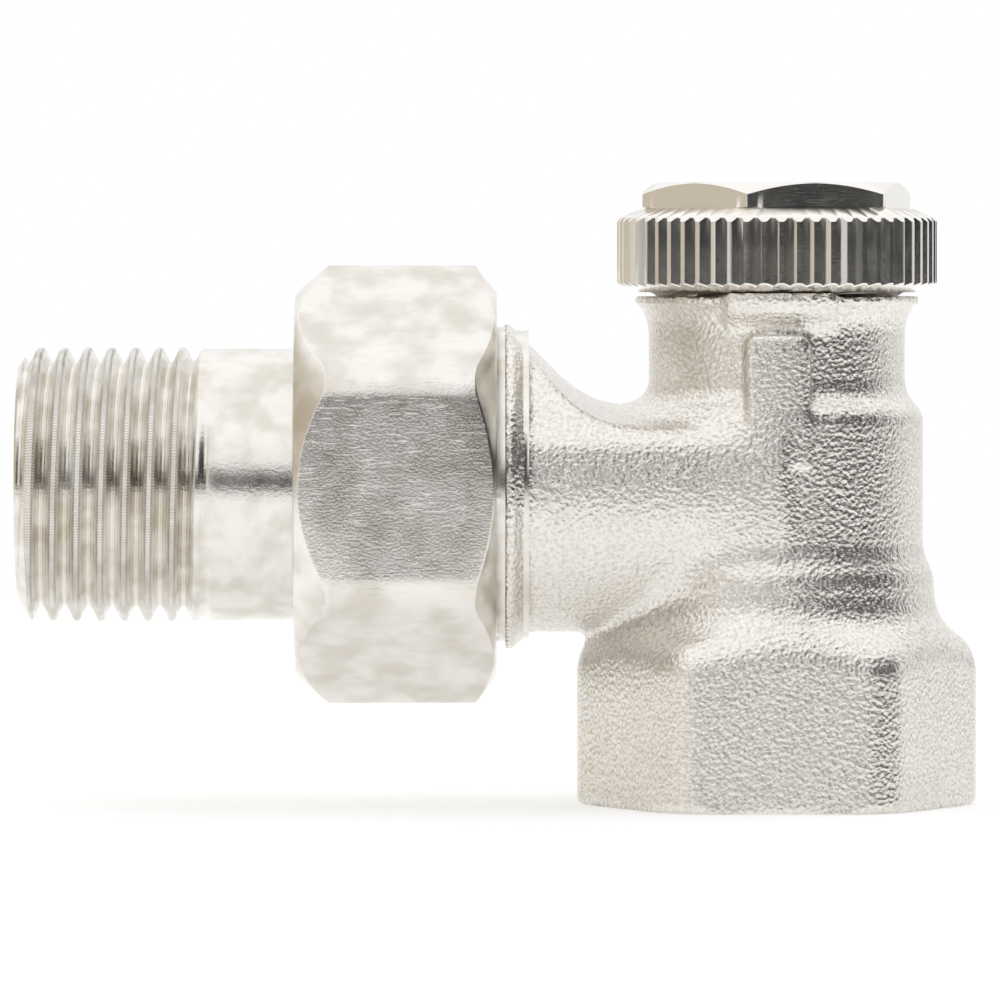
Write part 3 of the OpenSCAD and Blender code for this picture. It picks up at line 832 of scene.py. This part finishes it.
# %% Skinning the field
def field_slope(field, points, reach=0.01):
    """The field's gradient at each point, by central differences."""
    slope = np.empty_like(points)
    for axis in range(3):
        step = np.zeros(3)
        step[axis] = reach
        ahead, behind = points + step, points - step
        slope[:, axis] = (field(*ahead.T) - field(*behind.T)) / (2 * reach)
    return slope


def onto_surface(field, points, rounds=2):
    """Newton's step towards the surface: the point less its field value along the slope."""
    for _ in range(rounds):
        value = field(*points.T)
        slope = field_slope(field, points)
        length = np.maximum((slope**2).sum(1), 0.05)
        points = points - slope * np.clip(value / length, -0.3, 0.3)[:, None]
    return points


def skin(field, low, high, cell):
    """Points and quads of the surface where the field is zero, between two corners."""
    axes = [np.arange(a, b + cell, cell) for a, b in zip(low, high)]
    space = np.meshgrid(*axes, indexing="ij", sparse=True)
    value = field(*space).astype(np.float32)
    inside = value < 0
    size = np.array(value.shape)
    total = np.zeros((*(size - 1), 3), np.float32)
    hits = np.zeros(size - 1, np.float32)
    faces = []
    for axis in range(3):
        a = np.moveaxis(value, axis, 0)
        crossed = (a[:-1] < 0) != (a[1:] < 0)
        with np.errstate(divide="ignore", invalid="ignore"):
            where = np.where(crossed, a[:-1] / (a[:-1] - a[1:]), 0)
        i, u, v = np.nonzero(crossed)
        spot = where[i, u, v]
        first = a[i, u, v] < 0
        other = [(axis + 1) % 3, (axis + 2) % 3]
        moved = [axis] + [k for k in range(3) if k != axis]
        place = np.empty((len(i), 3), int)
        place[:, moved[0]], place[:, moved[1]], place[:, moved[2]] = i, u, v
        point = place.astype(np.float32)
        point[:, axis] += spot
        ring_cells = []
        for du, dv in ((-1, -1), (0, -1), (0, 0), (-1, 0)):
            cell_at = place.copy()
            cell_at[:, other[0]] += du
            cell_at[:, other[1]] += dv
            ring_cells.append(cell_at)
            np.add.at(total, tuple(cell_at.T), point)
            np.add.at(hits, tuple(cell_at.T), 1)
        flat = np.stack([np.ravel_multi_index(c.T, size - 1) for c in ring_cells], axis=1)
        faces.append(np.where(first[:, None], flat, flat[:, ::-1]))
    faces = np.vstack(faces)
    used, faces = np.unique(faces, return_inverse=True)
    faces = faces.reshape(-1, 4)
    points = total.reshape(-1, 3)[used] / hits.reshape(-1)[used][:, None]
    points = points * cell + np.array(low, np.float32)
    return points.astype(float), faces


def eased(points, faces, share=0.5):
    """Each point moved part of the way to the mean of its face neighbours."""
    total = np.zeros_like(points)
    count = np.bincount(faces.ravel(), minlength=len(points)).astype(float)
    for corner in range(4):
        around = points[faces[:, corner - 1]] + points[faces[:, (corner + 1) % 4]]
        for axis in range(3):
            total[:, axis] += np.bincount(
                faces[:, corner], weights=around[:, axis], minlength=len(points)
            )
    return points + (total / (2 * count)[:, None] - points) * share


CELL = 0.32
skin_points, skin_faces = skin(casting_field, (-21.6, -14.4, -0.8), (16.6, 14.4, 40.0), CELL)
for _ in range(3):
    skin_points = onto_surface(casting_field, eased(skin_points, skin_faces), 1)
skin_points = onto_surface(casting_field, skin_points, 2)
casting = make_object("valve_casting", skin_points, skin_faces, sharp=40, weld=1e-3)

# %% [markdown]
# ## What the lathe adds to the casting
#
# The union's stub, the thread under the cap and all the bores are cut on
# machines after casting, so they are crisp and true. They are turned grids too,
# closed into solids, and Boolean modifiers add and remove them, as cutting does.


# %% Machined features
turn_angles = np.arange(0, 200) / 200 * FULL_TURN


def plain(distance, radius):
    """One plain row on the common set of angles."""
    return ring(distance, radius, turn_angles)


def stub_limit(distance, radius):
    """The stub's thread starts at its undercut and ends in a chamfer."""
    start = 11.99 + np.clip((distance - 22.3) / 0.9, 0, 1) * 1.2
    return np.minimum(chamfered_end(29.8, 0.9, 1.4, 13.16)(distance, radius), start)


stub = turned_object("stub", [
    plain(19.0, 0.0), plain(19.0, 11.8), plain(20.7, 11.8), plain(20.7, 12.1),
    thread(22.3, 29.8, 13.16, 12.0, turn_angles, stub_limit, steps=10),
    plain(29.8, 11.5), plain(29.8, 0.0),
], turn_angles, round_the_union)


def neck_limit(distance, radius):
    """The neck's thread starts at the rim and ends in a chamfer."""
    start = 9.2 + np.clip((distance - 38.9) / 0.9, 0, 1) * 1.4
    return np.minimum(chamfered_end(43.9, 0.7, 1.3, 10.42)(distance, radius), start)


neck = turned_object("neck", [
    plain(37.5, 0.0), plain(37.5, 9.0), plain(38.9, 9.2),
    thread(38.9, 43.9, 10.42, 9.26, turn_angles, neck_limit, steps=10),
    plain(43.9, 8.9), plain(43.9, 0.0),
], turn_angles, round_the_spindle)


def socket_limit(distance, radius):
    """The pipe thread starts at the mouth's chamfer and runs out at the socket's end."""
    mouth = 10.5 - np.clip(distance / 1.1, 0, 1) * 1.1
    runout = 9.0 + np.clip((12.2 - distance) / 2.0, 0, 1) * 1.6
    return np.minimum(np.maximum(radius, mouth), np.maximum(runout, 9.32))


bores = [
    turned_object("cut_socket", [
        plain(-1.0, 0.0), plain(-1.0, 10.5), plain(-0.02, 10.5),
        thread(0.0, 12.2, 10.46, 9.32, turn_angles, socket_limit, steps=10),
        plain(13.2, 9.32), plain(14.0, 6.0), plain(18.0, 6.0), plain(18.0, 8.4),
        plain(29.1, 8.4), plain(30.0, 7.46), plain(36.5, 7.46), plain(36.5, 8.0),
        plain(43.5, 8.0), plain(43.9, 8.4), plain(45.0, 8.4), plain(45.0, 0.0),
    ], turn_angles, round_the_spindle),
    turned_object("cut_waterway", [
        plain(15.8, 0.0), plain(19.5, 6.4), plain(26.8, 6.4), plain(29.8, 9.4),
        plain(31.0, 9.4), plain(31.0, 0.0),
    ], turn_angles, round_the_union),
]


def passage_points(distance, outline, angles):
    """The cored passage: a round-ended slot 9.3 high and 12.3 wide, drawn along -X."""
    turn = angles[None, :] + 0 * distance
    side = np.sign(np.cos(turn)) * 1.5
    return np.stack([
        -distance, outline * np.cos(turn) + np.where(outline > 0, side, 0),
        23.55 + outline * np.sin(turn),
    ], axis=-1).reshape(-1, 3)


passage_angles = (np.arange(0, 48) + 0.5) / 48 * FULL_TURN
bores.append(turned_object("cut_passage", [
    ring(0.0, 0.0, passage_angles), ring(0.0, 4.65, passage_angles),
    ring(19.5, 4.65, passage_angles), ring(19.5, 0.0, passage_angles),
], passage_angles, passage_points))


def join(target, tool, operation):
    """Applies one Boolean modifier and removes the tool, whose faces count as machined."""
    tool.data.materials.append(cast_nickel)
    tool.data.materials.append(machined_nickel)
    tool.data.polygons.foreach_set("material_index", np.ones(len(tool.data.polygons), np.int32))
    step = target.modifiers.new("cut", "BOOLEAN")
    step.operation = operation
    step.solver = "MANIFOLD"
    step.object = tool
    bpy.context.view_layer.objects.active = target
    bpy.ops.object.modifier_apply(modifier=step.name)
    bpy.data.objects.remove(tool)
    print(operation.lower(), "leaves", len(target.data.polygons), "faces")


casting.data.materials.append(cast_nickel)
casting.data.materials.append(machined_nickel)
for tool in (stub, neck):
    join(casting, tool, "UNION")
for tool in bores:
    join(casting, tool, "DIFFERENCE")
shade(casting.data, 40)
cut_faces = np.empty(len(casting.data.polygons), np.int32)
casting.data.polygons.foreach_get("material_index", cut_faces)
print("machined faces:", int(cut_faces.sum()), "of", len(cut_faces))

# %% Which body each piece rides on
for piece, body, node, slot in (
    (casting, "valve_body", "valve_body", "cast_nickel"),
    (nut, "union", "union_nut", "turned_nickel"),
    (tail, "tail", "tailpiece", "turned_nickel"),
    (cap, "cap", "cap", "turned_nickel"),
):
    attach(piece, body)
    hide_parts(node)
print("pieces placed")


# %% Finishes of the outer pieces
for piece, finishes in (
    (tail, [serrated_nickel]), (cap, [turned_nickel_cap]), (nut, [bar_nickel, turned_nickel_union]),
):
    for finish in finishes:
        piece.data.materials.append(finish)
lean = np.empty(len(nut.data.polygons) * 3)
nut.data.polygons.foreach_get("normal", lean)
turned_faces = (np.abs(lean.reshape(-1, 3)[:, 0]) > 0.3).astype(np.int32)
nut.data.polygons.foreach_set("material_index", turned_faces)
print("turned faces on the nut:", int(turned_faces.sum()))

# %% [markdown]
# ## Camera
#
# The photograph was taken from the front with a long lens, a little above the
# middle of the valve. The lens is as long as the picture's scale asks for at
# 700 mm, so that upright edges stay nearly parallel.

# %% Camera
camera_data = bpy.data.cameras.new("camera")
camera = bpy.data.objects.new("camera", camera_data)
bpy.context.scene.collection.objects.link(camera)
camera_data.lens = 328.9
camera_data.sensor_width = 36
camera_data.clip_end = 10
target = Vector((-0.0212, 0, 0.0233))
camera.location = Vector((-0.0212, -0.7, 0.0433))
camera.rotation_euler = (target - camera.location).to_track_quat("-Z", "Y").to_euler()
bpy.context.scene.camera = camera
print("camera at", tuple(round(v, 3) for v in camera.location))

# %% [markdown]
# ## Studio light
#
# Bright metal shows the room, not itself. The room here is a white tent with a
# dark gap in front where the camera stands and a black card to the right, which
# give the nickel its dark middles and crisp edges. The tent is drawn in the world
# from the direction of each ray: its elevation sets the level, and soft masks in
# azimuth cut the dark gap, the card and the warm wall on the left. The camera,
# and mirrors that look back at the backdrop, see plain white.

# %% World
world = bpy.data.worlds.new("studio")
bpy.context.scene.world = world
sky = Graph(world)
direction = sky.add("ShaderNodeTexCoord", output=0)
east, north, up = [sky.add("ShaderNodeSeparateXYZ", {}, {0: direction}, output=i) for i in range(3)]
elevation = up.math("ARCSINE") * 57.2958
azimuth = east.math("ARCTAN2", 0.0 - north) * 57.2958
height_share = elevation / 180.0 + 0.5
level = sky.add(
    "ShaderNodeValToRGB",
    {"stops": [(0.0, 0.72), (0.2, 0.80), (0.36, 0.90), (0.46, 0.78), (0.53, 0.80),
               (0.60, 1.05), (0.75, 1.15), (1.0, 1.1)]},
    {0: height_share},
)
tall = abs(elevation)
gap = (1.0 - sky.smooth(tall, 7.0, 17.0)) * (1.0 - sky.smooth(abs(azimuth), 26.0, 38.0))
card = (
    sky.smooth(azimuth, 8.0, 22.0) * (1.0 - sky.smooth(azimuth, 96.0, 112.0))
    * (1.0 - sky.smooth(tall, 28.0, 44.0))
)
wall = (
    sky.smooth(0.0 - azimuth, 38.0, 56.0) * (1.0 - sky.smooth(0.0 - azimuth, 136.0, 152.0))
    * (1.0 - sky.smooth(tall, 16.0, 46.0))
)
tent = sky.mix(wall, level, (0.63, 0.565, 0.465, 1))
dark = (gap * 0.985).math("MAXIMUM", card * 0.965)
tent = sky.mix(dark, tent, (0.004, 0.004, 0.0045, 1))
path = {
    name: Value(sky, sky.tree.nodes.new("ShaderNodeLightPath").outputs[name])
    for name in ("Is Camera Ray", "Is Glossy Ray", "Is Transmission Ray")
}
backdrop = sky.smooth(abs(azimuth), 140.0, 160.0) * (1.0 - sky.smooth(tall, 14.0, 40.0))
plain_white = (
    path["Is Camera Ray"] + path["Is Transmission Ray"] + path["Is Glossy Ray"] * backdrop
).math("MINIMUM", 1.0)
colour = sky.mix(plain_white, tent, (1, 1, 1, 1))
light = sky.add("ShaderNodeBackground", {}, {0: colour, 1: 1.0})
sky.add("ShaderNodeOutputWorld", {}, {0: light})
print("world nodes:", len(sky.tree.nodes))

# %% [markdown]
# ## Floor
#
# The valve stands on a pale disc. Light from the tent reaches it everywhere but
# close to the foot, so it keeps a soft contact shadow. A little emission, for the
# camera and for mirrors only, lifts the open floor to white.

# %% Floor
floor_angles = np.arange(0, 96) / 96 * FULL_TURN
floor_radii = np.array([0.0, 20.0, 60.0, 150.0, 400.0])
floor_points = np.stack([
    np.outer(floor_radii, np.cos(floor_angles)) - 21.0,
    np.outer(floor_radii, np.sin(floor_angles)),
    np.zeros((len(floor_radii), len(floor_angles))) - 0.02,
], axis=-1).reshape(-1, 3)
floor = make_object("floor", floor_points, grid_faces(np.arange(5), 96, closed=False))
if floor.data.polygons[0].normal.z < 0:
    floor.data.flip_normals()
floor_paint = bpy.data.materials.new("pale_floor")
paint = Graph(floor_paint)
seen = [
    Value(paint, paint.tree.nodes.new("ShaderNodeLightPath").outputs[name])
    for name in ("Is Camera Ray", "Is Glossy Ray", "Is Transmission Ray")
]
diffuse = paint.add("ShaderNodeBsdfDiffuse", {}, {"Color": (0.62, 0.62, 0.615, 1)})
glow = paint.add(
    "ShaderNodeEmission", {},
    {"Color": (1, 1, 1, 1), "Strength": (seen[0] + seen[1] + seen[2]).math("MINIMUM", 1.0) * 0.5},
)
both = paint.add("ShaderNodeAddShader", {}, {0: diffuse, 1: glow})
paint.add("ShaderNodeOutputMaterial", {}, {0: both})
floor.data.materials.append(floor_paint)
print("floor radius:", floor_radii[-1], "mm")

# %% The view transform and the end
bpy.context.scene.view_settings.view_transform = "Standard"
